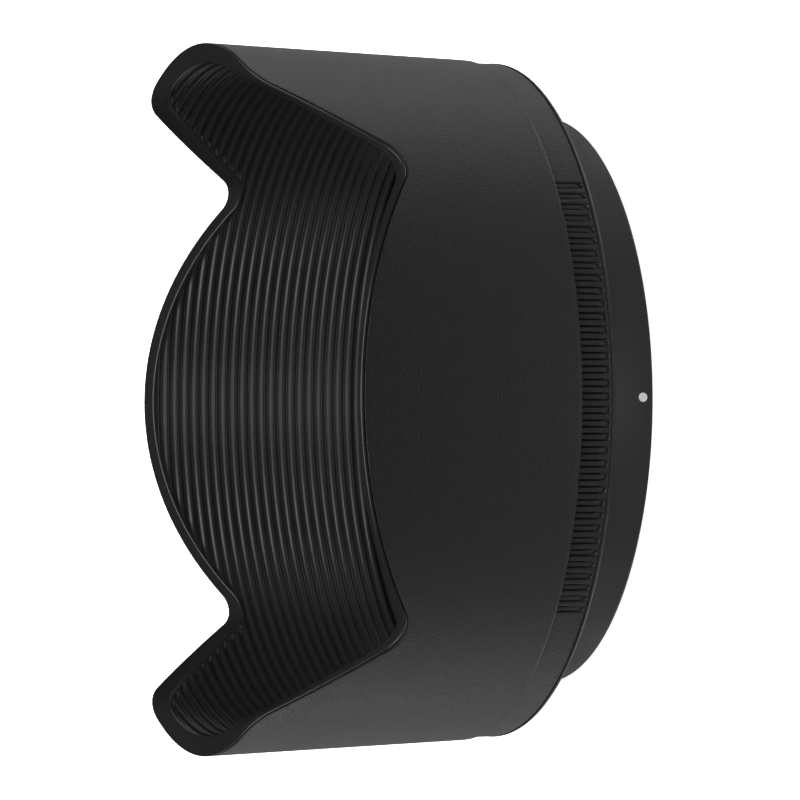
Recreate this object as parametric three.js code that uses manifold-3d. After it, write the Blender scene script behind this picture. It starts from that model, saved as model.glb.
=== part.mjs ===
// A bayonet lens hood with two long and two short petals.
// Millimetres, +Z up along the optical axis. The hood stands on the rear face of its mount ring (z = 0),
// petals up; the index dot faces -Y, the short petals lie on -Y and +Y, the long ones on -X and +X.
import * as THREE from "three";
import { mergeVertices } from "three/addons/utils/BufferGeometryUtils.js";
import Module from "manifold-3d";

const wasm = await Module();
wasm.setup();

// ---- Driving dimensions ----
const GAP = 0.3; // clearance between touching pieces
const ROUND_STEPS = 96; // facets round the hood
const LINER_STEPS = 60; // facets round the ribbed liner
const OUTLINE_STEPS = 9; // facets per arc of the petal outline
const HEIGHT = 52.4; // rear face to long petal tips
const TIP_RADIUS = 50; // outer radius at the tips
const DRAFT = 0.0335; // outer radius lost per millimetre towards the rear

// Petal outline, as seen along Y
const SHORT_PETAL_TOP = 45.3;
const SHORT_PETAL_ARC = 50;
const FLANK_ANGLE = THREE.MathUtils.degToRad(56.8);
const FLANK_POINT = new THREE.Vector2(34.3, 38.45); // any point on the straight flank of a long petal
const VALLEY_ROUND = 3;
const TIP_ROUND = 5;

// Shell and liner
const SHELL_REAR = 13.6; // where the grained shell ends and the grip ring begins
const RIM_CAP = 0.4; // thickness of the liner's cap over the shell's front edge
const LIP_WIDTH = 2; // of the cap
const LIP_DROP = 0.3; // step from the cap down to the liner's inner edge
const LINER_WALL = 1; // at the troughs between ribs
const RIB_HEIGHT = 0.4;
const RIB_PITCH = 1.5;
const LOWEST_RIB = 11; // height of its crest
const LINER_TIP_RADIUS = 48.7; // liner's outer radius at the tips
const LINER_DRAFT = 0.075;
const SPIGOT_RADIUS = 46.9; // rear sleeve of the shell, under the grip ring
const FLOOR_BOTTOM = 9.5;
const FLOOR_TOP = 10.3;
const FLOOR_INNER_RADIUS = 39.6;

// Grip ring
const GRIP_RADIUS = 48.3;
const GROOVES_PER_PATCH = 35;
const GROOVE_PITCH = 2.14; // degrees
const GROOVE_WIDTH = 1.0; // degrees
const GROOVE_WALL = 0.1; // degrees that each groove wall leans
const GROOVE_DEPTH = 0.35;

// Mount ring and bayonet ring
const COLLAR_RADIUS = 40.75;
const COLLAR_BORE = 39.3;
const FLANGE_RADIUS = 48.05;
const FLANGE_TOP = FLOOR_BOTTOM - GAP;
const FLANGE_BOTTOM = 7.9;
const FLANGE_THICK_RADIUS = 44.5; // out to here the flange has its full thickness
const FLANGE_LIP = 8.7; // from there its underside rises to this height at the rim
const COLLAR_FILLET = 1.6; // chamfer where the collar meets the flange
const EDGE = 0.3; // small chamfer
const LEDGE = 7.4; // floor of the counterbore that seats the bayonet ring
const SEAT_RADIUS = 41.3;
const BAYONET_BORE = 38;
const BAYONET_REAR = 0.6;
const LUG_RADIUS = 36.6;
const LUG_REAR = 1.2;
const LUG_HEIGHT = 2;
const LUG_SWEEP = 40; // degrees
const LUG_ANGLES = [90, 210, 330];

// Click springs
const SPRING_ANGLES = [30, 150, 270];
const SPRING_THICKNESS = 0.4;
const SPRING_RADIUS = 38.5; // middle of the leaf
const SPRING_BOTTOM = 4.2;
const SPRING_HEIGHT = 2.4;
const SPRING_HALF_SWEEP = 11; // degrees
const SPRING_CREST = 0.8; // how far the click bump stands inwards from the leaf
const BUMP_MIDDLE = 16; // degrees from the leaf's root
const BUMP_HALF_FOOT = 4; // degrees
const BUMP_HALF_CREST = 0.5; // degrees
const HOOK_RADIUS = 39.85;
const HOOK_SWEEP = 0.6; // degrees
const POCKET_HALF_SWEEP = 12.5; // degrees
const POCKET_RADIUS = 39.95; // leaves room for the leaf to give way
const HOOK_SLOT_RADIUS = 40.2;
const HOOK_SLOT_SWEEP = 1.8; // degrees

// Screws and index dot
const SCREW_ANGLES = [45, 135, 225, 315];
const SCREW_CIRCLE = 42.9;
const SCREW_SHANK = 0.7;
const SCREW_HEAD = 1.25;
const SCREW_HEAD_HEIGHT = 0.7;
const SCREW_LENGTH = 1.9;
const SCREW_LIFT = 0.1; // head's underside above the floor
const SCREW_TIP_ROOM = 0.1; // hole's depth past the screw's end
const DRIVE_SIZE = 1.3; // length of each bar of the cross recess
const DRIVE_WIDTH = 0.35;
const DRIVE_DEPTH = 0.4;
const DOT_RADIUS = 0.63;
const DOT_HEIGHT = 1.6; // above the rear face
const DOT_THICKNESS = 0.5;
const DOT_CLEARANCE = 0.1;

const REACH = 60; // longer than any piece, for cutting tools that must pass right through

// ---- Helpers ----
const radians = THREE.MathUtils.degToRad;
const polar = (radius, degrees) =>
  new THREE.Vector2(radius * Math.cos(radians(degrees)), radius * Math.sin(radians(degrees)));
const outerRadius = (z) => TIP_RADIUS - DRAFT * (HEIGHT - z);
const linerRadius = (z) => LINER_TIP_RADIUS - LINER_DRAFT * (HEIGHT - z);

function solidOf(geometry) {
  geometry.deleteAttribute("normal");
  geometry.deleteAttribute("uv");
  const merged = mergeVertices(geometry, 1e-4);
  return new wasm.Manifold(
    new wasm.Mesh({
      numProp: 3,
      vertProperties: merged.attributes.position.array,
      triVerts: new Uint32Array(merged.index.array),
    }),
  );
}

function geometryOf(solid) {
  const { vertProperties, triVerts } = solid.getMesh();
  const geometry = new THREE.BufferGeometry();
  geometry.setAttribute("position", new THREE.BufferAttribute(vertProperties, 3));
  geometry.setIndex(new THREE.BufferAttribute(triVerts, 1));
  geometry.computeVertexNormals();
  return geometry;
}

// A ring turned from a closed profile of [radius, z] corners, listed outside upwards.
function turned(profile, steps = ROUND_STEPS) {
  const corners = [...profile, profile[0]].map(([radius, z]) => new THREE.Vector2(radius, z));
  return solidOf(new THREE.LatheGeometry(corners, steps).rotateX(Math.PI / 2));
}

// A flat outline raised from z = bottom by height.
function raised(outline, bottom, height, curveSegments = 12) {
  const shape = outline instanceof THREE.Shape ? outline : new THREE.Shape(outline);
  const settings = { depth: height, bevelEnabled: false, curveSegments };
  return solidOf(new THREE.ExtrudeGeometry(shape, settings).translate(0, 0, bottom));
}

// Part of a ring between two radii and two angles in degrees.
function sector(inner, outer, from, to, bottom, height) {
  const shape = new THREE.Shape();
  shape.absarc(0, 0, outer, radians(from), radians(to), false);
  shape.absarc(0, 0, inner, radians(to), radians(from), true);
  return raised(shape, bottom, height, Math.ceil(((to - from) * ROUND_STEPS) / 360));
}

// An upright cylinder.
function post(radius, bottom, height, x, y, facets = 20) {
  const geometry = new THREE.CylinderGeometry(radius, radius, height, facets);
  return solidOf(geometry.rotateX(Math.PI / 2).translate(x, y, bottom + height / 2));
}

// ---- Petal outline ----
const flankRun = new THREE.Vector2(Math.cos(FLANK_ANGLE), Math.sin(FLANK_ANGLE));
const flankOut = new THREE.Vector2(-flankRun.y, flankRun.x); // away from the long petal
const lobeCentre = new THREE.Vector2(0, SHORT_PETAL_TOP - SHORT_PETAL_ARC);

// The valley round touches the short petal's arc from outside and the flank line.
function valleyCentre() {
  const start = FLANK_POINT.clone().addScaledVector(flankOut, VALLEY_ROUND).sub(lobeCentre);
  const along = start.dot(flankRun);
  const reach = SHORT_PETAL_ARC + VALLEY_ROUND;
  const step = -along - Math.sqrt(along * along - start.lengthSq() + reach * reach);
  const other = -along + Math.sqrt(along * along - start.lengthSq() + reach * reach);
  const chosen = Math.abs(step) < Math.abs(other) ? step : other;
  return start.addScaledVector(flankRun, chosen).add(lobeCentre);
}

// The tip round lies inside the long petal, under its flat top.
function tipCentre() {
  const start = FLANK_POINT.clone().addScaledVector(flankOut, -TIP_ROUND);
  const climb = HEIGHT - TIP_ROUND - start.y;
  return start.addScaledVector(flankRun, climb / flankRun.y);
}

// Everything above the petal outline set back by inset, as a solid that runs right through along Y.
function aboveOutline(inset) {
  const valley = valleyCentre();
  const tip = tipCentre();
  const meeting = valley.clone().sub(lobeCentre).angle();
  const half = new THREE.Path();
  half.absarc(lobeCentre.x, lobeCentre.y, SHORT_PETAL_ARC - inset, Math.PI / 2, meeting, true);
  const flankSide = flankOut.angle();
  half.absarc(valley.x, valley.y, VALLEY_ROUND + inset, meeting + Math.PI, flankSide + Math.PI, false);
  half.absarc(tip.x, tip.y, TIP_ROUND - inset, flankSide, Math.PI / 2, true);
  half.lineTo(REACH, HEIGHT - inset);
  half.lineTo(REACH, REACH);
  const right = half.getPoints(OUTLINE_STEPS);
  const left = right.map((point) => new THREE.Vector2(-point.x, point.y)).reverse();
  const shape = new THREE.Shape([...right, ...left.slice(0, -1)]);
  const settings = { depth: 2 * REACH, bevelEnabled: false };
  const geometry = new THREE.ExtrudeGeometry(shape, settings).translate(0, 0, -REACH);
  return solidOf(geometry.rotateX(Math.PI / 2));
}

// ---- Pieces ----
function outerShell() {
  const top = HEIGHT + 1;
  const sleeve = turned([
    [outerRadius(SHELL_REAR), SHELL_REAR],
    [outerRadius(top), top],
    [linerRadius(top) + GAP, top],
    [linerRadius(FLOOR_BOTTOM) + GAP, FLOOR_BOTTOM],
    [SPIGOT_RADIUS, FLOOR_BOTTOM],
    [SPIGOT_RADIUS, SHELL_REAR],
  ]);
  return sleeve.subtract(aboveOutline(RIM_CAP + GAP));
}

// Inner wall of the liner, from the top down: a trough, then a crest, then a trough again.
function ribbedWall(top) {
  const trough = (z) => linerRadius(z) - LINER_WALL;
  const wall = [[trough(top), top]];
  const ribs = Math.floor((HEIGHT - LOWEST_RIB) / RIB_PITCH);
  for (let i = ribs; i >= 0; i--) {
    const crest = LOWEST_RIB + i * RIB_PITCH;
    wall.push([trough(crest) - RIB_HEIGHT, crest]);
    const below = Math.max(crest - RIB_PITCH / 2, FLOOR_TOP);
    wall.push([trough(below), below]);
  }
  return wall;
}

function baffleLiner() {
  const top = HEIGHT + 1;
  const cup = [
    [linerRadius(FLOOR_BOTTOM), FLOOR_BOTTOM],
    [linerRadius(top), top],
    ...ribbedWall(top),
    [FLOOR_INNER_RADIUS, FLOOR_TOP],
    [FLOOR_INNER_RADIUS, FLOOR_BOTTOM],
  ];
  const lip = [
    [outerRadius(FLOOR_TOP), FLOOR_TOP],
    [outerRadius(top), top],
    [outerRadius(top) - LIP_WIDTH, top],
    [outerRadius(FLOOR_TOP) - LIP_WIDTH, FLOOR_TOP],
  ];
  const cap = turned(lip).intersect(aboveOutline(RIM_CAP)).subtract(aboveOutline(0));
  let liner = turned(cup, LINER_STEPS).subtract(aboveOutline(LIP_DROP)).add(cap);
  for (const angle of SCREW_ANGLES) {
    const { x, y } = polar(SCREW_CIRCLE, angle);
    liner = liner.subtract(post(SCREW_SHANK + GAP, FLOOR_BOTTOM - 1, FLOOR_TOP, x, y));
  }
  return liner;
}

// A plain band with a patch of axial grooves on the -Y side and another on the +Y side.
function gripRing() {
  const patchHalf = ((GROOVES_PER_PATCH - 1) * GROOVE_PITCH + GROOVE_WIDTH) / 2;
  const smoothSteps = 28;
  const outline = [];
  for (const middle of [90, 270]) {
    for (let i = 0; i < GROOVES_PER_PATCH; i++) {
      const start = middle - patchHalf + i * GROOVE_PITCH;
      const end = start + GROOVE_WIDTH;
      outline.push(polar(GRIP_RADIUS, start));
      outline.push(polar(GRIP_RADIUS - GROOVE_DEPTH, start + GROOVE_WALL));
      outline.push(polar(GRIP_RADIUS - GROOVE_DEPTH, end - GROOVE_WALL));
      outline.push(polar(GRIP_RADIUS, end));
    }
    const smoothSweep = 180 - 2 * patchHalf;
    for (let i = 1; i < smoothSteps; i++) {
      outline.push(polar(GRIP_RADIUS, middle + patchHalf + (smoothSweep * i) / smoothSteps));
    }
  }
  const band = new THREE.Shape(outline);
  band.holes.push(new THREE.Path().absarc(0, 0, SPIGOT_RADIUS + GAP, 0, 2 * Math.PI, false));
  const bottom = FLANGE_TOP + GAP;
  return raised(band, bottom, SHELL_REAR - GAP - bottom, ROUND_STEPS / 2);
}

function mountRing() {
  const body = turned([
    [COLLAR_RADIUS - EDGE, 0],
    [COLLAR_RADIUS, EDGE],
    [COLLAR_RADIUS, FLANGE_BOTTOM - COLLAR_FILLET],
    [COLLAR_RADIUS + COLLAR_FILLET, FLANGE_BOTTOM],
    [FLANGE_THICK_RADIUS, FLANGE_BOTTOM],
    [FLANGE_RADIUS, FLANGE_LIP],
    [FLANGE_RADIUS, FLANGE_TOP - EDGE],
    [FLANGE_RADIUS - EDGE, FLANGE_TOP],
    [SEAT_RADIUS, FLANGE_TOP],
    [SEAT_RADIUS, LEDGE],
    [COLLAR_BORE, LEDGE],
    [COLLAR_BORE, 0],
  ]);
  let ring = body;
  const pocketBottom = SPRING_BOTTOM - GAP;
  const pocketHeight = LEDGE + GAP - pocketBottom;
  for (const angle of SPRING_ANGLES) {
    const from = angle - POCKET_HALF_SWEEP;
    const to = angle + POCKET_HALF_SWEEP;
    const bore = COLLAR_BORE - GAP;
    ring = ring.subtract(sector(bore, POCKET_RADIUS, from, to, pocketBottom, pocketHeight));
    const hookFrom = angle - SPRING_HALF_SWEEP - HOOK_SWEEP;
    const hookTo = hookFrom + HOOK_SLOT_SWEEP;
    ring = ring.subtract(sector(bore, HOOK_SLOT_RADIUS, hookFrom, hookTo, pocketBottom, pocketHeight));
  }
  for (const angle of SCREW_ANGLES) {
    const { x, y } = polar(SCREW_CIRCLE, angle);
    const holeBottom = FLOOR_TOP + SCREW_LIFT - SCREW_LENGTH - SCREW_TIP_ROOM;
    ring = ring.subtract(post(SCREW_SHANK + GAP, holeBottom, FLANGE_TOP, x, y));
  }
  return ring.subtract(dotDisc(DOT_RADIUS + DOT_CLEARANCE, DOT_THICKNESS + DOT_CLEARANCE, 1));
}

// A disc lying in the collar's -Y side: depth below the collar's surface, proud above it.
function dotDisc(radius, depth, proud) {
  const disc = new THREE.CylinderGeometry(radius, radius, depth + proud, 24);
  return solidOf(disc.translate(0, -COLLAR_RADIUS + (depth - proud) / 2, DOT_HEIGHT));
}

function indexDot() {
  return dotDisc(DOT_RADIUS, DOT_THICKNESS, -DOT_CLEARANCE / 2);
}

function bayonetRing() {
  let ring = turned([
    [COLLAR_BORE - GAP, BAYONET_REAR],
    [COLLAR_BORE - GAP, LEDGE + GAP],
    [SEAT_RADIUS - GAP, LEDGE + GAP],
    [SEAT_RADIUS - GAP, FLANGE_TOP],
    [BAYONET_BORE, FLANGE_TOP],
    [BAYONET_BORE, BAYONET_REAR],
  ]);
  const lugRoot = (BAYONET_BORE + COLLAR_BORE - GAP) / 2;
  for (const angle of LUG_ANGLES) {
    const from = angle - LUG_SWEEP / 2;
    ring = ring.add(sector(LUG_RADIUS, lugRoot, from, from + LUG_SWEEP, LUG_REAR, LUG_HEIGHT));
  }
  for (const angle of SPRING_ANGLES) {
    const from = angle - POCKET_HALF_SWEEP;
    const to = angle + POCKET_HALF_SWEEP;
    const bottom = SPRING_BOTTOM - GAP;
    const height = SPRING_HEIGHT + 2 * GAP;
    ring = ring.subtract(sector(LUG_RADIUS, COLLAR_BORE, from, to, bottom, height));
  }
  return ring;
}

// A leaf that follows the bore, hooked into the mount ring at one end, with a click bump near the other.
function clickSpring(middle) {
  const root = middle - SPRING_HALF_SWEEP;
  const half = SPRING_THICKNESS / 2;
  const foot = BUMP_MIDDLE - BUMP_HALF_FOOT;
  const leaf = [0, foot / 3, (2 * foot) / 3, foot].map((turn) => [SPRING_RADIUS, turn]);
  leaf.push([SPRING_RADIUS - SPRING_CREST, BUMP_MIDDLE - BUMP_HALF_CREST]);
  leaf.push([SPRING_RADIUS - SPRING_CREST, BUMP_MIDDLE + BUMP_HALF_CREST]);
  leaf.push([SPRING_RADIUS, BUMP_MIDDLE + BUMP_HALF_FOOT]);
  leaf.push([SPRING_RADIUS + half, 2 * SPRING_HALF_SWEEP]);
  const outside = leaf.slice(1).map(([radius, turn]) => polar(radius + half, root + turn));
  const inside = leaf.map(([radius, turn]) => polar(radius - half, root + turn)).reverse();
  const hook = [
    polar(HOOK_RADIUS, root),
    polar(HOOK_RADIUS, root + HOOK_SWEEP),
    polar(SPRING_RADIUS + half, root + HOOK_SWEEP),
  ].reverse();
  const outline = [...outside.reverse(), ...hook, ...inside.reverse()].reverse();
  return raised(outline, SPRING_BOTTOM, SPRING_HEIGHT);
}

function clampScrew(angle) {
  const { x, y } = polar(SCREW_CIRCLE, angle);
  const headBottom = FLOOR_TOP + SCREW_LIFT;
  const headTop = headBottom + SCREW_HEAD_HEIGHT;
  const shank = post(SCREW_SHANK, headBottom - SCREW_LENGTH, SCREW_LENGTH + SCREW_HEAD_HEIGHT / 2, x, y, 16);
  let screw = post(SCREW_HEAD, headBottom, SCREW_HEAD_HEIGHT, x, y).add(shank);
  for (const [width, length] of [[DRIVE_SIZE, DRIVE_WIDTH], [DRIVE_WIDTH, DRIVE_SIZE]]) {
    const bar = new THREE.BoxGeometry(width, length, 2 * DRIVE_DEPTH).translate(x, y, headTop);
    screw = screw.subtract(solidOf(bar));
  }
  return screw;
}

// ---- Materials ----
const black = (color, roughness) => new THREE.MeshStandardMaterial({ color, roughness, metalness: 0 });
const grainedBlack = black(0x1c1c1d, 0.62);
const matteBlack = black(0x151515, 0.7);
const satinBlack = black(0x1b1b1c, 0.5);
const bayonetBlack = black(0x121212, 0.45);
const dotWhite = black(0xf2f2ef, 0.55);
const springSteel = new THREE.MeshStandardMaterial({ color: 0xb9bcc0, roughness: 0.3, metalness: 1 });
const screwSteel = new THREE.MeshStandardMaterial({ color: 0x2a2a2c, roughness: 0.4, metalness: 1 });

// ---- Assembly ----
const hood = new THREE.Group();
hood.name = "lens_hood";

function place(name, solid, material) {
  const mesh = new THREE.Mesh(geometryOf(solid), material);
  mesh.name = name;
  hood.add(mesh);
}

place("outer_shell", outerShell(), grainedBlack);
place("baffle_liner", baffleLiner(), matteBlack);
place("grip_ring", gripRing(), satinBlack);
place("mount_ring", mountRing(), satinBlack);
place("bayonet_ring", bayonetRing(), bayonetBlack);
place("index_dot", indexDot(), dotWhite);
SPRING_ANGLES.forEach((angle, i) => place(`click_spring_${i + 1}`, clickSpring(angle), springSteel));
SCREW_ANGLES.forEach((angle, i) => place(`clamp_screw_${i + 1}`, clampScrew(angle), screwSteel));

export default hood;
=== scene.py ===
# Looks of the petal lens hood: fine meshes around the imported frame, materials, light and camera.
# Shapes are worked out in millimetres in the frame's own axes and turned into metres when a mesh is made.
# The hood stands on its mount, with its axis along +Z. Its long petals are at -X and +X, its short ones at
# -Y and +Y.

import math

import bmesh
import bpy
import numpy as np
from mathutils import Matrix, Vector


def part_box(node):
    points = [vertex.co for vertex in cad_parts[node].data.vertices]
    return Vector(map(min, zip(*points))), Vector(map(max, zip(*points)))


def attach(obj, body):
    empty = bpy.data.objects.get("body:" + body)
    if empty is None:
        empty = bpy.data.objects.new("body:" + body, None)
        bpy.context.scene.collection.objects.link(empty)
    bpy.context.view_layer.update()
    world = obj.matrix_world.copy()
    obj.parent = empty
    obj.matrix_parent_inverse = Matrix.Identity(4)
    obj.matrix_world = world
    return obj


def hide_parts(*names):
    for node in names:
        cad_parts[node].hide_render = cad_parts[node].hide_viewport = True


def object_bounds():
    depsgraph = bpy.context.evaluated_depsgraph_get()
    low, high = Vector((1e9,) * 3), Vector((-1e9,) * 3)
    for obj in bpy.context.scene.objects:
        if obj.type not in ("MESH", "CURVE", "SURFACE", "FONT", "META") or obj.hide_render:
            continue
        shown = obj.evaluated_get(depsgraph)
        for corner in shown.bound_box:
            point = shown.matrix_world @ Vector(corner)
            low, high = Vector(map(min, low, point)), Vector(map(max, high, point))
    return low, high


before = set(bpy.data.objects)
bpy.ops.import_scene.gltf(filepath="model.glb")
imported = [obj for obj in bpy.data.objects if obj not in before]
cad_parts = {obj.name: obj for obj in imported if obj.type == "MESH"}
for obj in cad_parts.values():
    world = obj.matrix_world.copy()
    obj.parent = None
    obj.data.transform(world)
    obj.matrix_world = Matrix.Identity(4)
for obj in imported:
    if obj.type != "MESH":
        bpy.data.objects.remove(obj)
cad_low, cad_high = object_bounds()

MM = 0.001
TURN = 2 * math.pi


def box_mm(node):
    """Lowest and highest corner of a CAD node, in millimetres."""
    return tuple(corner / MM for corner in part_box(node))


# ---- Sizes taken from the frame ----
grip_low, grip_high = box_mm("grip_ring")
shell_low, _ = box_mm("outer_shell")
bayonet_low, bayonet_high = box_mm("bayonet_ring")
dot_low, dot_high = box_mm("index_dot")
leaf_low, leaf_high = box_mm("click_spring_1")
HEIGHT = cad_high.z / MM
TIP_RADIUS = cad_high.x / MM
GAP = 0.3  # play between neighbouring pieces
GRIP_RADIUS = grip_high.x
GRIP_BOTTOM = grip_low.z
SHELL_REAR = grip_high.z + GAP
FLOOR_BOTTOM = shell_low.z

# ---- Petal outline, seen along Y ----
DRAFT = 0.0335  # outer radius lost per millimetre towards the rear
SHORT_PETAL_TOP = 45.3
SHORT_PETAL_ARC = 50
FLANK_ANGLE = math.radians(56.8)
FLANK_POINT = np.array([34.3, 38.45])  # a point that the long petal's flank passes through
VALLEY_ROUND = 3
TIP_ROUND = 5
CONE_STEPS = 6  # rounds of working out where a cone meets the outline

# ---- Columns of vertices round the hood, in degrees from the long petals' middle ----
BEND_START = 20  # the outline bends between here and BEND_END
BEND_END = 58
TIP_STEP = 2.0
BEND_STEP = 0.5
LOBE_STEP = 1.6

# ---- Mesh clean-up ----
SAME_POINT = 0.002  # points closer than this are merged
SHORTEST_EDGE = 0.001  # shorter edges are dissolved

# ---- Rim and shell ----
CAP = 0.4  # thickness of the liner's cap over the shell's front edge
CAP_GAP = 0.1  # seam between them
RIM_EDGE = 0.28  # rounding of the cap's outer edge
LIP_FLAT = 1.2  # width of the lip's flat outer part
LIP_DROP = 0.5  # how far the rest of the lip falls towards its inner edge
LIP_EDGE = 0.25  # rounding of the lip's inner edge
LIP_AT_TIP = 2.7  # width of the lip at the long petals' tips
SHELL_WALL = 1.2  # thickness at the front
SHELL_EDGE = 0.3  # rounding of the shell's edges
WALL_SHARES = (0.02, 0.25, 0.5, 0.75, 0.98)  # where the rows of the shell's outside lie, bottom to top
BORE_DEPTH = 3.2  # from the outside to the shell's bore at its foot
SPIGOT_DEPTH = 1.7  # from the outside to the spigot on its foot, which the grip ring sits on

# ---- Liner ribs ----
RIB_PITCH = 1.5
LOWEST_RIB = 11.0  # height of its crest
RIB_HEIGHT = 0.34
RIB_STEPS = 8  # rows of vertices per rib
TROUGH_START = 0.85  # from the rim to where the troughs between the ribs begin
TROUGH_FULL = 1.3  # from the rim to where they have their full depth
LINER_DRAFT = 0.075  # inner radius lost per millimetre towards the rear
FLOOR_TOP = 10.3  # front face of the liner's floor
FLOOR_INNER_RADIUS = 39.6

# ---- Grip ring ----
GROOVES_PER_PATCH = 35
GROOVE_PITCH = math.radians(2.14)
GROOVE_HALF_WIDTH = 0.45
GROOVE_WALL = 0.11  # half the width that a groove's wall takes
GROOVE_DEPTH = 0.1
CHANNEL_DEPTH = 0.36  # a sharp channel runs round each groove's edge
CHANNEL_HALF_WIDTH = 0.17
GROOVE_END = 0.12  # from the CAD ring's rear to the grooves' round ends
GROOVE_STEPS = 24  # columns of vertices per groove
SMOOTH_COLUMNS = 90  # columns of vertices over each smooth stretch, with both its ends
ROLL_ROWS = 7  # rows of vertices over the roll-off
BAND_ROWS = 5  # and over the rest of the band
GRIP_ROLL = 0.5  # height over which the band rolls off at its rear
GRIP_DROP = 0.14  # how far it rolls in
GRIP_REACH = 0.29  # how far the band reaches back towards the flange, past its CAD node
GRIP_BORE = 47.2  # clears the shell's spigot

# ---- Mount ring, bayonet ring and springs ----
COLLAR_RADIUS = 40.75
COLLAR_BORE = 39.3
COLLAR_EDGE = 0.5
COLLAR_FILLET = 1.6
FLANGE_PROUD = 0.05  # how far the flange stands out past the grip ring
FLANGE_RADIUS = GRIP_RADIUS + FLANGE_PROUD
FLANGE_TOP = FLOOR_BOTTOM - GAP
FLANGE_BOTTOM = 7.9
FLANGE_LIP = 8.7  # the flange thins towards its rim, where its underside rises to here
FLANGE_THICK_RADIUS = 44.5  # out to here it has its full thickness
FLANGE_EDGE = 0.35  # rounding of its rear edge
FLANGE_ROUND = 0.08  # rounding of its front edge
LEDGE = 7.4  # floor of the counterbore that seats the bayonet ring
SEAT_RADIUS = 41.3
BAYONET_BORE = 38
BAYONET_EDGE = 0.3  # bevel of its bore's edges
LUG_RADIUS = 36.6
LUG_REAR = 1.2
LUG_HEIGHT = 2
LUG_SWEEP = 40
LUG_ANGLES = (90, 210, 330)
SPRING_ANGLES = (30, 150, 270)  # the springs sit in pockets between the lugs
POCKET_SWEEP = 25
POCKET_RADIUS = 39.95
DOT_PROUD = 0.01  # how far the dot's paint stands off the collar


# ---- Outline ----
flank_run = np.array([math.cos(FLANK_ANGLE), math.sin(FLANK_ANGLE)])
flank_out = np.array([-flank_run[1], flank_run[0]])
lobe_centre = np.array([0, SHORT_PETAL_TOP - SHORT_PETAL_ARC])


def find_valley_centre():
    """Centre of the round that touches the short petal's arc from outside and the flank line."""
    start = FLANK_POINT + flank_out * VALLEY_ROUND - lobe_centre
    along = start @ flank_run
    reach = SHORT_PETAL_ARC + VALLEY_ROUND
    root = math.sqrt(along**2 - start @ start + reach**2)
    step = min(-along - root, -along + root, key=abs)
    return start + flank_run * step + lobe_centre


def find_tip_centre():
    """Centre of the round between the flank line and the long petal's flat top."""
    start = FLANK_POINT - flank_out * TIP_ROUND
    return start + flank_run * (HEIGHT - TIP_ROUND - start[1]) / flank_run[1]


valley_centre = find_valley_centre()
tip_centre = find_tip_centre()


def petal_height(x, inset):
    """Height of the petal outline, set back by inset, at distance x from the short petals' middle."""
    x = np.abs(x)
    lobe, valley, tip = SHORT_PETAL_ARC - inset, VALLEY_ROUND + inset, TIP_ROUND - inset
    towards_valley = (valley_centre - lobe_centre) / np.linalg.norm(valley_centre - lobe_centre)
    lobe_end = lobe_centre + towards_valley * lobe
    flank_start = valley_centre - flank_out * valley
    flank_end = tip_centre + flank_out * tip

    def arc(centre, radius, side):
        return centre[1] + side * np.sqrt(np.maximum(radius**2 - (x - centre[0]) ** 2, 0))

    line = flank_start[1] + (x - flank_start[0]) * math.tan(FLANK_ANGLE)
    return np.select(
        [x < lobe_end[0], x < flank_start[0], x < flank_end[0], x < tip_centre[0]],
        [arc(lobe_centre, lobe, 1), arc(valley_centre, valley, -1), line, arc(tip_centre, tip, 1)],
        HEIGHT - inset,
    )


def outer_radius(z, depth=0.0):
    """Radius of the tapered outside, or of the cone that lies depth inside it."""
    return TIP_RADIUS - depth - DRAFT * (HEIGHT - z)


def liner_radius(z, depth=0.0):
    """Radius of the liner's rib crests and lip, or of the cone that lies depth behind them."""
    return TIP_RADIUS - LIP_AT_TIP + depth - LINER_DRAFT * (HEIGHT - z)


def on_outline(radius_at, angles, inset):
    """(radii, heights) where a cone meets the petal outline set back by inset."""
    z = np.full_like(angles, HEIGHT)
    for _ in range(CONE_STEPS):
        z = petal_height(radius_at(z) * np.cos(angles), inset)
    return radius_at(z), z


def smooth_step(share):
    """Rises from 0 to 1 with level ends as share goes from 0 to 1."""
    return share * share * (3 - 2 * share)


# ---- Meshes ----
def petal_angles():
    """Angles of the columns round the hood: close together where the outline bends."""
    tip = np.arange(0, BEND_START, TIP_STEP)
    bend = np.arange(BEND_START, BEND_END, BEND_STEP)
    lobe = np.arange(BEND_END, 90, LOBE_STEP)
    quarter = np.concatenate([tip, bend, lobe, [90]])
    half = np.concatenate([quarter, 180 - quarter[-2::-1]])
    full = np.concatenate([half, 180 + half[1:-1]])
    return np.radians(full)


def row(angles, radius, z):
    """One ring of points."""
    ones = np.ones_like(angles)
    return np.stack([radius * np.cos(angles), radius * np.sin(angles), z * ones], axis=1)


def outline_row(angles, surface, depth, inset):
    """The ring of points where a surface, at that depth, meets the outline set back by inset."""
    return row(angles, *on_outline(lambda z: surface(z, depth), angles, inset))


def mesh_of(name, points, faces):
    """A mesh from points in millimetres."""
    mesh = bpy.data.meshes.new(name)
    mesh.from_pydata((np.asarray(points) * MM).tolist(), [], faces)
    return mesh


def ring_mesh(name, rows, material, sharp=40):
    """A closed ring from rings of points that run round its cross-section."""
    points = np.stack(rows)
    height, width = points.shape[:2]
    index = np.arange(height * width).reshape(height, width)
    over = np.roll(index, -1, axis=0)
    faces = np.stack([index, np.roll(index, -1, axis=1), np.roll(over, -1, axis=1), over], axis=-1)
    mesh = mesh_of(name, points.reshape(-1, 3), faces.reshape(-1, 4).tolist())
    return finished(name, mesh, material, sharp)


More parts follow.
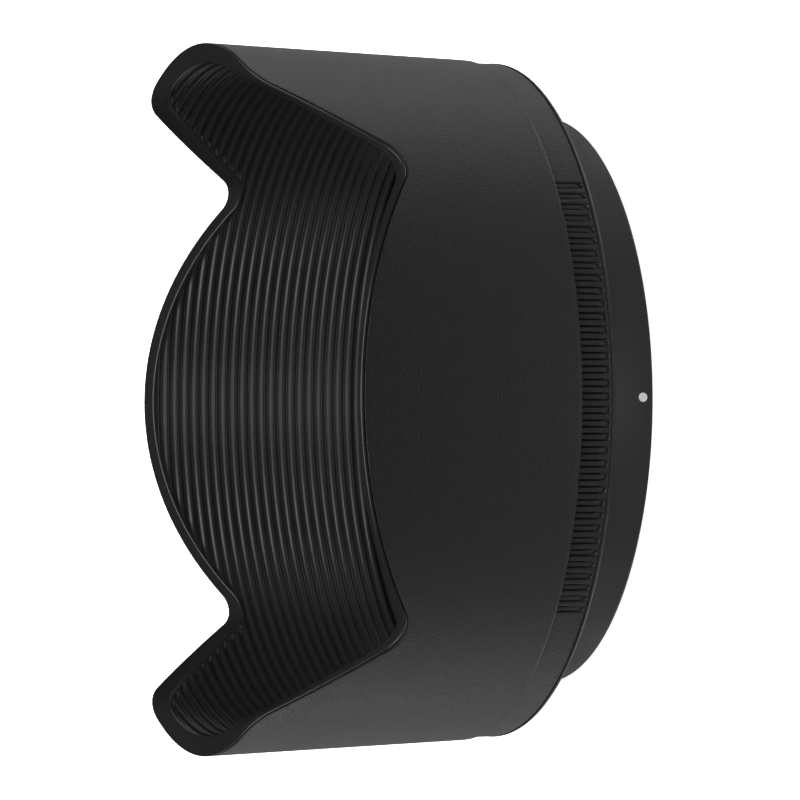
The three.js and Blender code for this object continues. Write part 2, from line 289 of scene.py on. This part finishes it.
def finished(name, mesh, material, sharp):
    """An object of that mesh: points merged, faces outwards, smooth but for edges over sharp degrees."""
    work = bmesh.new()
    work.from_mesh(mesh)
    bmesh.ops.remove_doubles(work, verts=work.verts, dist=SAME_POINT * MM)
    bmesh.ops.dissolve_degenerate(work, edges=work.edges, dist=SHORTEST_EDGE * MM)
    if work.calc_volume(signed=True) < 0:
        bmesh.ops.reverse_faces(work, faces=work.faces)
    work.to_mesh(mesh)
    work.free()
    mesh.shade_smooth()
    mesh.set_sharp_from_angle(angle=math.radians(sharp))
    mesh.materials.append(material)
    piece = bpy.data.objects.new(name, mesh)
    bpy.context.scene.collection.objects.link(piece)
    return piece


def stands_for(piece, node):
    """The piece takes the place of a CAD node of the fixed body."""
    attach(piece, "hood")
    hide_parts(node)


# ---- Materials ----
def plastic(name, colour, roughness, grain=0.0, grain_size=0.22, specular=0.5):
    """Moulded plastic, or paint. grain and grain_size are its texture's depth and size in millimetres."""
    material = bpy.data.materials.new(name)
    material.use_nodes = True
    nodes, links = material.node_tree.nodes, material.node_tree.links
    shader = nodes["Principled BSDF"]
    shader.inputs["Base Color"].default_value = (*colour, 1)
    shader.inputs["Roughness"].default_value = roughness
    shader.inputs["Specular IOR Level"].default_value = specular
    if grain:
        place = nodes.new("ShaderNodeTexCoord")
        noise = nodes.new("ShaderNodeTexNoise")
        noise.inputs["Scale"].default_value = 1 / (grain_size * MM)
        noise.inputs["Detail"].default_value = 2
        bump = nodes.new("ShaderNodeBump")
        bump.inputs["Distance"].default_value = grain * MM
        links.new(place.outputs["Object"], noise.inputs["Vector"])
        links.new(noise.outputs["Fac"], bump.inputs["Height"])
        links.new(bump.outputs["Normal"], shader.inputs["Normal"])
    return material


def metal(name, colour, roughness):
    """Plain metal."""
    material = bpy.data.materials.new(name)
    material.use_nodes = True
    shader = material.node_tree.nodes["Principled BSDF"]
    shader.inputs["Base Color"].default_value = (*colour, 1)
    shader.inputs["Metallic"].default_value = 1
    shader.inputs["Roughness"].default_value = roughness
    return material


BLACK = (0.0096, 0.0096, 0.0096)
shell_plastic = plastic("shell_plastic", BLACK, 0.42, grain=0.11, specular=0.2)
liner_plastic = plastic("liner_plastic", BLACK, 0.3, specular=0.25)
grip_plastic = plastic("grip_plastic", BLACK, 0.42, grain=0.11, specular=0.2)
mount_plastic = plastic("mount_plastic", BLACK, 0.45, specular=0.2)
bayonet_plastic = plastic("bayonet_plastic", BLACK, 0.4, specular=0.2)
dot_paint = plastic("dot_paint", (0.85, 0.85, 0.83), 0.5)
spring_steel = metal("spring_steel", (0.48, 0.49, 0.50), 0.3)
screw_steel = metal("screw_steel", (0.05, 0.05, 0.055), 0.4)


# ---- Pieces ----
def rounded_corner(edge, steps=5):
    """(depth, inset) pairs round an outer corner, from the wall to the front face."""
    turns = np.linspace(0, math.pi / 2, steps)
    return [(edge * (1 - math.cos(t)), edge * (1 - math.sin(t))) for t in turns]


def outer_shell():
    """The tapered sleeve, petal-cut at the front, with a spigot at its foot for the grip ring."""
    angles = petal_angles()
    front = CAP + CAP_GAP
    _, wall_top = on_outline(outer_radius, angles, front + SHELL_EDGE)
    wall_bottom = SHELL_REAR + SHELL_EDGE
    spigot = outer_radius(FLOOR_BOTTOM, SPIGOT_DEPTH)
    rows = []
    for depth, rise in reversed(rounded_corner(SHELL_EDGE, steps=4)):
        rows.append(row(angles, outer_radius(SHELL_REAR, depth), SHELL_REAR + rise))
    for share in WALL_SHARES:
        z = wall_bottom + share * (wall_top - wall_bottom)
        rows.append(row(angles, outer_radius(z), z))
    for depth, inset in rounded_corner(SHELL_EDGE):
        rows.append(outline_row(angles, outer_radius, depth, front + inset))
    rows.append(outline_row(angles, outer_radius, SHELL_WALL, front))
    rows.append(row(angles, outer_radius(FLOOR_BOTTOM, BORE_DEPTH), FLOOR_BOTTOM))
    rows.append(row(angles, spigot, FLOOR_BOTTOM))
    rows.append(row(angles, spigot, SHELL_REAR))
    return ring_mesh("shell_grained", rows, shell_plastic)


def rib_rows(angles):
    """Rings of points down the ribbed inner wall, from above the rim's lip to the floor.

    Rings that would lie above the lip are held at it, and their doubled points are merged later.
    """
    _, start = on_outline(liner_radius, angles, TROUGH_START)
    _, full = on_outline(liner_radius, angles, TROUGH_FULL)
    count = int((HEIGHT - TROUGH_START - LOWEST_RIB) / RIB_PITCH) + 2
    rows = []
    for step in range(count * RIB_STEPS, -RIB_STEPS // 2, -1):
        z = max(LOWEST_RIB + step * RIB_PITCH / RIB_STEPS, FLOOR_TOP)
        swell = 0.5 + 0.5 * math.cos(TURN * step / RIB_STEPS)
        share = np.clip((start - z) / (start - full), 0, 1)
        trough = RIB_HEIGHT * (1 - swell) * smooth_step(share)
        height = np.minimum(z, start)
        rows.append(row(angles, liner_radius(height, trough), height))
    return rows


def baffle_liner():
    """The ribbed sleeve inside the shell, with its cap over the shell's front edge and its floor."""
    angles = petal_angles()
    rows = [row(angles, outer_radius(FLOOR_BOTTOM, BORE_DEPTH + GAP), FLOOR_BOTTOM)]
    # the cap's underside, from the sleeve to just short of its outer edge
    for depth in (SHELL_WALL + GAP, RIM_EDGE / 4):
        rows.append(outline_row(angles, outer_radius, depth, CAP))
    for depth, inset in rounded_corner(RIM_EDGE):
        rows.append(outline_row(angles, outer_radius, depth, inset))
    rows.append(outline_row(angles, outer_radius, LIP_FLAT, 0))
    for depth, inset in reversed(rounded_corner(LIP_EDGE)):
        rows.append(outline_row(angles, liner_radius, depth, LIP_DROP + inset))
    rows += rib_rows(angles)
    rows.append(row(angles, liner_radius(FLOOR_TOP, RIB_HEIGHT), FLOOR_TOP))
    rows.append(row(angles, FLOOR_INNER_RADIUS, FLOOR_TOP))
    rows.append(row(angles, FLOOR_INNER_RADIUS, FLOOR_BOTTOM))
    return ring_mesh("liner_ribbed", rows, liner_plastic)


def groove_angles():
    """Angles of the grip ring's columns: fine over the two grooved patches, coarse between them."""
    half_patch = GROOVES_PER_PATCH * GROOVE_PITCH / 2
    columns = GROOVES_PER_PATCH * GROOVE_STEPS
    patch = np.linspace(-half_patch, half_patch, columns + 1)
    smooth = np.linspace(half_patch, math.pi - half_patch, SMOOTH_COLUMNS)[1:-1]
    half = np.concatenate([patch, smooth])
    return np.concatenate([half, half + math.pi]) - math.pi / 2


def groove_depth(angles, z):
    """How deep the grooves cut at each angle and height; their rear ends are round."""
    from_patch = np.mod(angles + math.pi, math.pi) - math.pi / 2
    last = (GROOVES_PER_PATCH - 1) / 2
    nearest = np.clip(np.round(from_patch / GROOVE_PITCH), -last, last)
    aside = (from_patch - nearest * GROOVE_PITCH) * GRIP_RADIUS
    end_centre = GRIP_BOTTOM + GROOVE_END + GROOVE_HALF_WIDTH
    distance = np.hypot(aside, max(end_centre - z, 0))
    share = np.clip((GROOVE_HALF_WIDTH + GROOVE_WALL - distance) / (2 * GROOVE_WALL), 0, 1)
    channel = np.clip(1 - np.abs(distance - GROOVE_HALF_WIDTH) / CHANNEL_HALF_WIDTH, 0, 1)
    return GROOVE_DEPTH * smooth_step(share) + CHANNEL_DEPTH * channel


def grip_ring():
    """The band behind the shell, with a patch of grip grooves on each short petal's side."""
    angles = groove_angles()
    rear = GRIP_BOTTOM - GRIP_REACH
    front = SHELL_REAR + SHELL_EDGE / 2
    roll_rises = np.linspace(0, GRIP_ROLL, ROLL_ROWS)
    band_rises = np.linspace(GRIP_ROLL, front - rear, BAND_ROWS + 1)[1:]
    rows = [row(angles, GRIP_BORE, rear)]
    for rise in np.concatenate([roll_rises, band_rises]):
        roll = min(rise / GRIP_ROLL, 1)
        drop = GRIP_DROP * (1 - math.sqrt(1 - (1 - roll) ** 2))
        z = rear + rise
        rows.append(row(angles, GRIP_RADIUS - drop - groove_depth(angles, z), z))
    rows.append(row(angles, GRIP_BORE, front))
    return ring_mesh("grip_band", rows, grip_plastic, sharp=50)


def turned(name, profile, material, columns=360, sharp=35):
    """A ring turned from a closed profile of (radius, z) corners."""
    angles = np.linspace(0, TURN, columns, endpoint=False)
    return ring_mesh(name, [row(angles, radius, z) for radius, z in profile], material, sharp)


def quarter_round(centre, radius, start, steps=6):
    """Points of a quarter circle in the section plane, anticlockwise from start degrees."""
    turns = np.radians(np.linspace(start, start + 90, steps))
    return [(centre[0] + radius * math.cos(t), centre[1] + radius * math.sin(t)) for t in turns]


def sector(inner, outer, middle, sweep, bottom, height, steps=25):
    """A block to cut out or join on: part of a ring about the angle middle, in degrees."""
    turns = np.radians(middle + np.linspace(-sweep / 2, sweep / 2, steps))
    flat = [(outer * math.cos(t), outer * math.sin(t)) for t in turns]
    flat += [(inner * math.cos(t), inner * math.sin(t)) for t in turns[::-1]]
    count = len(flat)
    points = [(x, y, z) for z in (bottom, bottom + height) for x, y in flat]
    sides = [(i, (i + 1) % count, count + (i + 1) % count, count + i) for i in range(count)]
    ladder = [(i, count - 1 - i, count - 2 - i, i + 1) for i in range(count // 2 - 1)]
    lids = ladder + [tuple(count + corner for corner in face[::-1]) for face in ladder]
    block = bpy.data.objects.new("block", mesh_of("block", points, sides + lids))
    bpy.context.scene.collection.objects.link(block)
    return block


def combine(piece, block, operation):
    """Cuts the block out of the piece, or joins it on, and removes the block."""
    boolean = piece.modifiers.new("boolean", "BOOLEAN")
    boolean.object = block
    boolean.operation = operation
    boolean.solver = "EXACT"
    graph = bpy.context.evaluated_depsgraph_get()
    mesh = bpy.data.meshes.new_from_object(piece.evaluated_get(graph))
    piece.modifiers.clear()
    piece.data = mesh
    bpy.data.objects.remove(block)


def mount_ring():
    """The collar and its flange, with the bayonet ring's seat and three pockets for the springs."""
    rear = quarter_round((COLLAR_RADIUS - COLLAR_EDGE, COLLAR_EDGE), COLLAR_EDGE, -90)
    lower = quarter_round((FLANGE_RADIUS - FLANGE_EDGE, FLANGE_LIP + FLANGE_EDGE), FLANGE_EDGE, -90)
    upper = quarter_round((FLANGE_RADIUS - FLANGE_ROUND, FLANGE_TOP - FLANGE_ROUND), FLANGE_ROUND, 0)
    profile = [
        *rear,
        (COLLAR_RADIUS, FLANGE_BOTTOM - COLLAR_FILLET),
        (COLLAR_RADIUS + COLLAR_FILLET / 3, FLANGE_BOTTOM - COLLAR_FILLET / 3),
        (COLLAR_RADIUS + COLLAR_FILLET, FLANGE_BOTTOM),
        (FLANGE_THICK_RADIUS, FLANGE_BOTTOM),
        *lower,
        *upper,
        (SEAT_RADIUS, FLANGE_TOP),
        (SEAT_RADIUS, LEDGE),
        (COLLAR_BORE, LEDGE),
        (COLLAR_BORE, 0),
    ]
    ring = turned("mount_collar", profile, mount_plastic)
    pocket_bottom = leaf_low.z - GAP
    for angle in SPRING_ANGLES:
        cut = sector(COLLAR_BORE - GAP, POCKET_RADIUS, angle, POCKET_SWEEP, pocket_bottom, LEDGE)
        combine(ring, cut, "DIFFERENCE")
    return ring


def index_dot(steps=48):
    """The alignment dot: a round plug of paint lying along Y in the collar's wall."""
    turns = np.linspace(0, TURN, steps, endpoint=False)
    radius = (dot_high.x - dot_low.x) / 2
    centre_z = (dot_low.z + dot_high.z) / 2
    ends = (-COLLAR_RADIUS - DOT_PROUD, dot_high.y)
    points = [(radius * math.cos(t), y, centre_z + radius * math.sin(t)) for y in ends for t in turns]
    sides = [(i, steps + i, steps + (i + 1) % steps, (i + 1) % steps) for i in range(steps)]
    lids = [tuple(range(steps)), tuple(range(2 * steps - 1, steps - 1, -1))]
    return finished("dot_paint_fill", mesh_of("dot", points, sides + lids), dot_paint, sharp=40)


def bayonet_ring():
    """The ring that holds the hood on its lens: three lugs, and between them windows for the springs."""
    top, bottom = bayonet_high.z, bayonet_low.z
    profile = [
        (COLLAR_BORE - GAP, bottom),
        (COLLAR_BORE - GAP, LEDGE + GAP),
        (SEAT_RADIUS - GAP, LEDGE + GAP),
        (SEAT_RADIUS - GAP, top),
        (BAYONET_BORE + BAYONET_EDGE, top),
        (BAYONET_BORE, top - BAYONET_EDGE),
        (BAYONET_BORE, bottom + BAYONET_EDGE),
        (BAYONET_BORE + BAYONET_EDGE, bottom),
    ]
    ring = turned("bayonet_lugs", profile, bayonet_plastic)
    for angle in LUG_ANGLES:
        lug = sector(LUG_RADIUS, BAYONET_BORE + BAYONET_EDGE, angle, LUG_SWEEP, LUG_REAR, LUG_HEIGHT)
        combine(ring, lug, "UNION")
    window_bottom = leaf_low.z - GAP
    window_height = leaf_high.z + GAP - window_bottom
    for angle in SPRING_ANGLES:
        cut = sector(LUG_RADIUS, COLLAR_BORE, angle, POCKET_SWEEP, window_bottom, window_height)
        combine(ring, cut, "DIFFERENCE")
    return ring


PIECES = {
    "outer_shell": outer_shell,
    "baffle_liner": baffle_liner,
    "grip_ring": grip_ring,
    "mount_ring": mount_ring,
    "bayonet_ring": bayonet_ring,
    "index_dot": index_dot,
}
METAL_NODES = {"click_spring": spring_steel, "clamp_screw": screw_steel}


def make_pieces():
    """Builds the fine meshes, and gives the springs and screws, shown as their CAD solids, their metals."""
    for node, make in PIECES.items():
        stands_for(make(), node)
    for start, material in METAL_NODES.items():
        for name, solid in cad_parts.items():
            if name.startswith(start):
                solid.data.materials.clear()
                solid.data.materials.append(material)


# ---- Camera ----
CAMERA_DISTANCE = 598.2 * MM
CAMERA_AIM = Vector((0, 0, 21.84 * MM))
CAMERA_TILT = math.radians(19.93)  # how far above the horizon the camera stands
CAMERA_SWING = math.radians(-0.605)  # how far round the hood it stands from -Y
CAMERA_ROLL = math.radians(0.092)  # beyond the quarter turn that lays the hood on its side
CAMERA_LENS = 188.3  # focal length in millimetres


def make_camera():
    """The hood lies on its side in the picture: its petals point left and +X is up."""
    swing = Matrix.Rotation(CAMERA_SWING, 3, "Z")
    right = swing @ Vector((0, -math.sin(CAMERA_TILT), -math.cos(CAMERA_TILT)))
    up = swing @ Vector((1, 0, 0))
    back = right.cross(up)
    rolled_right = right * math.cos(CAMERA_ROLL) + up * math.sin(CAMERA_ROLL)
    rolled_up = back.cross(rolled_right)
    lens = bpy.data.cameras.new("camera")
    lens.lens = CAMERA_LENS
    camera = bpy.data.objects.new("camera", lens)
    turn = Matrix((rolled_right, rolled_up, back)).transposed()
    camera.matrix_world = Matrix.Translation(CAMERA_AIM + back * CAMERA_DISTANCE) @ turn.to_4x4()
    bpy.context.scene.collection.objects.link(camera)
    bpy.context.scene.camera = camera


# ---- Light and floor ----
FLOOR_REACH = 6000  # millimetres from the hood to the floor's edges
LIGHT_AIM = Vector((0, 0, 25 * MM))
LIGHT_SPREAD = 0.5  # a soft box's width as a share of its distance
# Degrees off the camera's side, degrees from the petals' side towards +X, millimetres away, watts,
# mirrored in X or not.
LIGHTS = {
    "key": (36, 0, 900, 1.2, False),
    "petal_top": (75, 0, 900, 7.0, False),
    "petal_fill": (75, 30, 900, 5.0, True),
    "side_fill": (75, 120, 900, 1.05, True),
    "rim": (110, 105, 900, 1.9, True),
    "back_rim": (145, 120, 900, 0.25, True),
    "edge_light": (110, 150, 900, 2.4, True),
    "collar_fill": (45, 180, 200, 0.085, False),
    "grip_fill": (45, 140, 200, 0.05, True),
}


def soft_light(name, polar, azimuth, distance, power):
    """A round soft box aimed at the hood. It stands on a sphere whose pole is the camera's side."""
    polar, azimuth = math.radians(polar), math.radians(azimuth)
    outward = Vector((0, -1, 0)) * math.cos(polar)
    outward += Vector((math.sin(azimuth), 0, math.cos(azimuth))) * math.sin(polar)
    data = bpy.data.lights.new(name, "AREA")
    data.shape = "DISK"
    data.size = LIGHT_SPREAD * distance * MM
    data.energy = power
    light = bpy.data.objects.new(name, data)
    light.location = LIGHT_AIM + outward * distance * MM
    light.rotation_euler = (-outward).to_track_quat("-Z", "Y").to_euler()
    light.visible_camera = False
    bpy.context.scene.collection.objects.link(light)


def make_lights():
    """All the soft boxes. A mirrored one also gets its mirror image."""
    for name, (polar, azimuth, distance, power, mirrored) in LIGHTS.items():
        soft_light(name, polar, azimuth, distance, power)
        if mirrored:
            soft_light(name + "_mirrored", polar, -azimuth, distance, power)


def make_floor():
    """A white floor that keeps its own light and shadow off the hood."""
    reach = FLOOR_REACH
    corners = [(-reach, -reach, 0), (reach, -reach, 0), (reach, reach, 0), (-reach, reach, 0)]
    mesh = mesh_of("floor", corners, [(0, 1, 2, 3)])
    material = bpy.data.materials.new("floor_white")
    material.use_nodes = True
    shader = material.node_tree.nodes["Principled BSDF"]
    shader.inputs["Base Color"].default_value = (0.9, 0.9, 0.9, 1)
    shader.inputs["Emission Color"].default_value = (1, 1, 1, 1)
    shader.inputs["Emission Strength"].default_value = 1.0
    mesh.materials.append(material)
    floor = bpy.data.objects.new("floor", mesh)
    floor.visible_diffuse = False
    floor.visible_glossy = False
    floor.visible_shadow = False
    bpy.context.scene.collection.objects.link(floor)


def make_world():
    """White all round for the camera, without lighting the hood."""
    world = bpy.data.worlds.new("studio")
    bpy.context.scene.world = world
    world.use_nodes = True
    world.node_tree.nodes["Background"].inputs["Color"].default_value = (1, 1, 1, 1)
    world.node_tree.nodes["Background"].inputs["Strength"].default_value = 1
    world.cycles_visibility.diffuse = False
    world.cycles_visibility.glossy = False


make_pieces()
make_camera()
make_world()
make_floor()
make_lights()

bpy.context.scene.view_settings.view_transform = "Standard"
